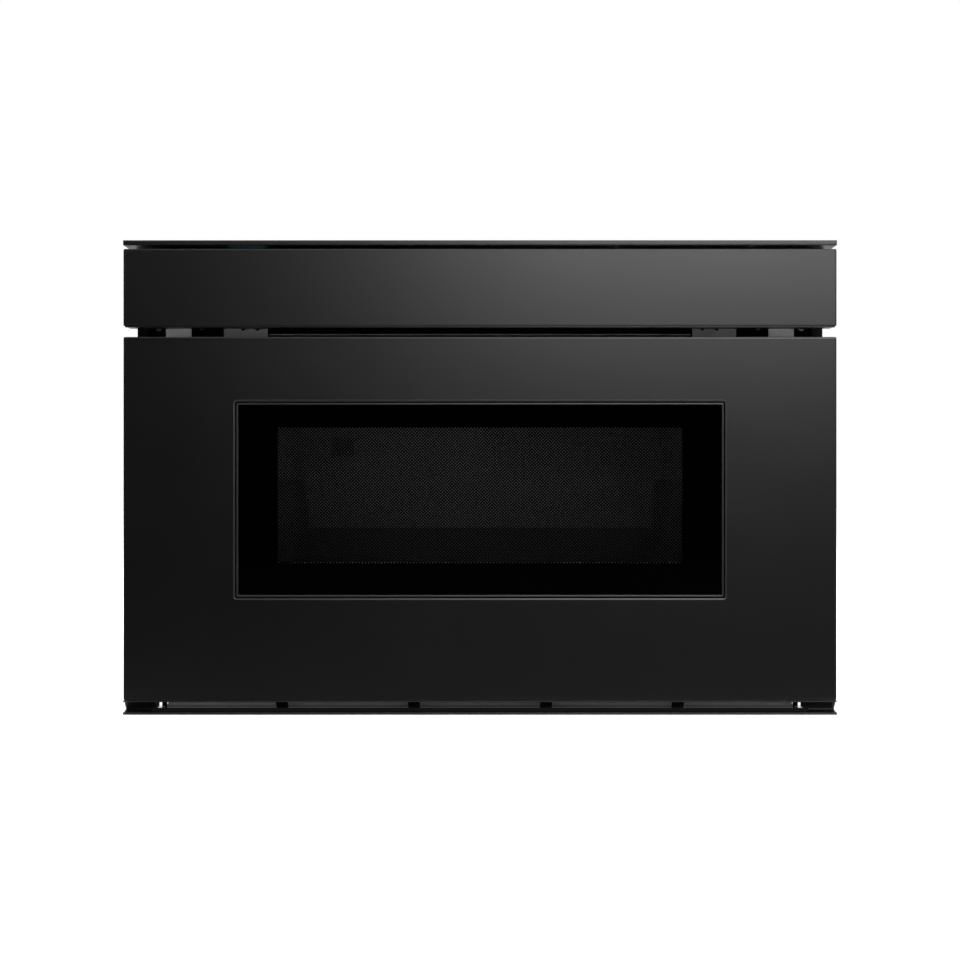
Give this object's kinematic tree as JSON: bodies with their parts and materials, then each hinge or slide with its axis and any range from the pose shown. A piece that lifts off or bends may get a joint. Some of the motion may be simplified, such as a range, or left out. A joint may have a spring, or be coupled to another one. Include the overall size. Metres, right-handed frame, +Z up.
{
  "type": "microwave drawer",
  "caption": "Built-in microwave drawer: black steel front with a dark window, tray on runners, tilting control panel above and a slotted air trim below.",
  "frame": {"origin": "on the floor under the middle of the whole object", "axes": "+X to the right seen from the front, +Y from the front to the back, +Z up"},
  "size_m": [0.6064, 0.5936, 0.4032],
  "materials": {
    "black_steel": "satin",
    "trim_metal": "satin",
    "galvanised": "satin",
    "frame_paint": "matte",
    "cavity_paint": "satin",
    "rail_steel": "satin",
    "pane": "polished",
    "shelf_glass": "polished",
    "mica": "matte",
    "black_plastic": "matte",
    "duct_plastic": "matte",
    "acetal": "satin",
    "circuit": "satin",
    "rubber": "matte"
  },
  "bodies": {
    "chassis": {"base_pan": "galvanised", "side_panels": "galvanised", "top_cover": "galvanised", "back_panel": "galvanised", "front_frame": "frame_paint", "top_trim": "black_steel", "bottom_trim": "black_steel", "air_baffle": "galvanised", "feet": "rubber", "cavity_shell": "cavity_paint", "cavity_back": "cavity_paint", "stirrer_cover": "mica", "stirrer_motor": "galvanised", "waveguide": "galvanised", "magnetron": "galvanised", "cavity_lamp": "galvanised", "exhaust_duct": "duct_plastic", "inverter_board": "circuit", "noise_filter_board": "circuit", "power_gland": "black_plastic", "fan_housing": "black_plastic", "fan_motor": "galvanised", "cabinet_rails": "rail_steel", "shaft_bearings": "acetal", "drive_motor": "galvanised", "interlock_switches": "black_plastic", "bumper_plates": "galvanised", "hinge_arms": "galvanised", "catch_brackets": "galvanised", "push_latch_body": "black_plastic", "chassis_screws": "rail_steel"},
    "drawer": {"door_skin": "black_steel", "window_trim": "trim_metal", "window_glass": "pane", "door_screen": "frame_paint", "inner_glass": "pane", "choke_frame": "frame_paint", "choke_cover": "black_plastic", "door_back_cover": "frame_paint", "drawer_tray": "cavity_paint", "ceramic_shelf": "shelf_glass", "latch_heads": "rail_steel", "door_bumpers": "rubber", "door_screws": "rail_steel", "drawer_rails": "rail_steel", "gear_racks": "acetal"},
    "rail_left": {"intermediate_rail_left": "rail_steel"},
    "rail_right": {"intermediate_rail_right": "rail_steel"},
    "cross_shaft": {"drive_shaft": "rail_steel"},
    "control_panel": {"panel_skin": "black_steel", "panel_housing": "black_plastic", "touch_glass": "pane", "control_board": "circuit", "hinge_pins": "rail_steel"},
    "plunger": {"latch_plunger": "black_plastic"},
    "lever_left": {"interlock_lever_left": "black_plastic"},
    "lever_right": {"interlock_lever_right": "black_plastic"},
    "impeller": {"fan_impeller": "black_plastic"},
    "stirrer": {"stirrer_blade": "rail_steel"}
  },
  "joints": [
    {"name": "drawer_slide", "type": "slide", "parent": "chassis", "child": "drawer", "axis": [0, -1, 0], "range_m": [0, 0.381]},
    {"name": "rail_left_slide", "type": "slide", "parent": "chassis", "child": "rail_left", "axis": [0, -1, 0], "range_m": [0, 0.1905]},
    {"name": "rail_right_slide", "type": "slide", "parent": "chassis", "child": "rail_right", "axis": [0, -1, 0], "range_m": [0, 0.1905]},
    {"name": "cross_shaft_turn", "type": "hinge", "parent": "chassis", "child": "cross_shaft", "pos_m": [0, -0.23125, 0.07], "axis": [1, 0, 0], "range_deg": [0, 1365]},
    {"name": "control_panel_tilt", "type": "hinge", "parent": "chassis", "child": "control_panel", "pos_m": [0, -0.28925, 0.336], "axis": [1, 0, 0], "range_deg": [0, 45]},
    {"name": "plunger_press", "type": "slide", "parent": "chassis", "child": "plunger", "axis": [0, 1, 0], "range_m": [0, 0.003], "stiffness_N_per_m": 300, "springref_m": -0.002},
    {"name": "fan_spin", "type": "hinge", "parent": "chassis", "child": "impeller", "pos_m": [-0.15, 0.26, 0.24], "axis": [0, 1, 0], "continuous": true},
    {"name": "stirrer_spin", "type": "hinge", "parent": "chassis", "child": "stirrer", "pos_m": [0, -0.045, 0.288], "axis": [0, 0, 1], "continuous": true},
    {"name": "lever_left_press", "type": "hinge", "parent": "chassis", "child": "lever_left", "pos_m": [-0.263, -0.22925, 0.264], "axis": [1, 0, 0], "range_deg": [0, 5], "stiffness_Nm_per_rad": 0.02, "springref_deg": -5.73},
    {"name": "lever_right_press", "type": "hinge", "parent": "chassis", "child": "lever_right", "pos_m": [0.263, -0.22925, 0.264], "axis": [1, 0, 0], "range_deg": [0, 5], "stiffness_Nm_per_rad": 0.02, "springref_deg": -5.73}
  ],
  "couplings": [
    {"joint": "rail_left_slide", "follows": "drawer_slide", "ratio": 0.5},
    {"joint": "rail_right_slide", "follows": "drawer_slide", "ratio": 0.5},
    {"joint": "cross_shaft_turn", "follows": "drawer_slide", "rad_per_m": 62.5}
  ]
}
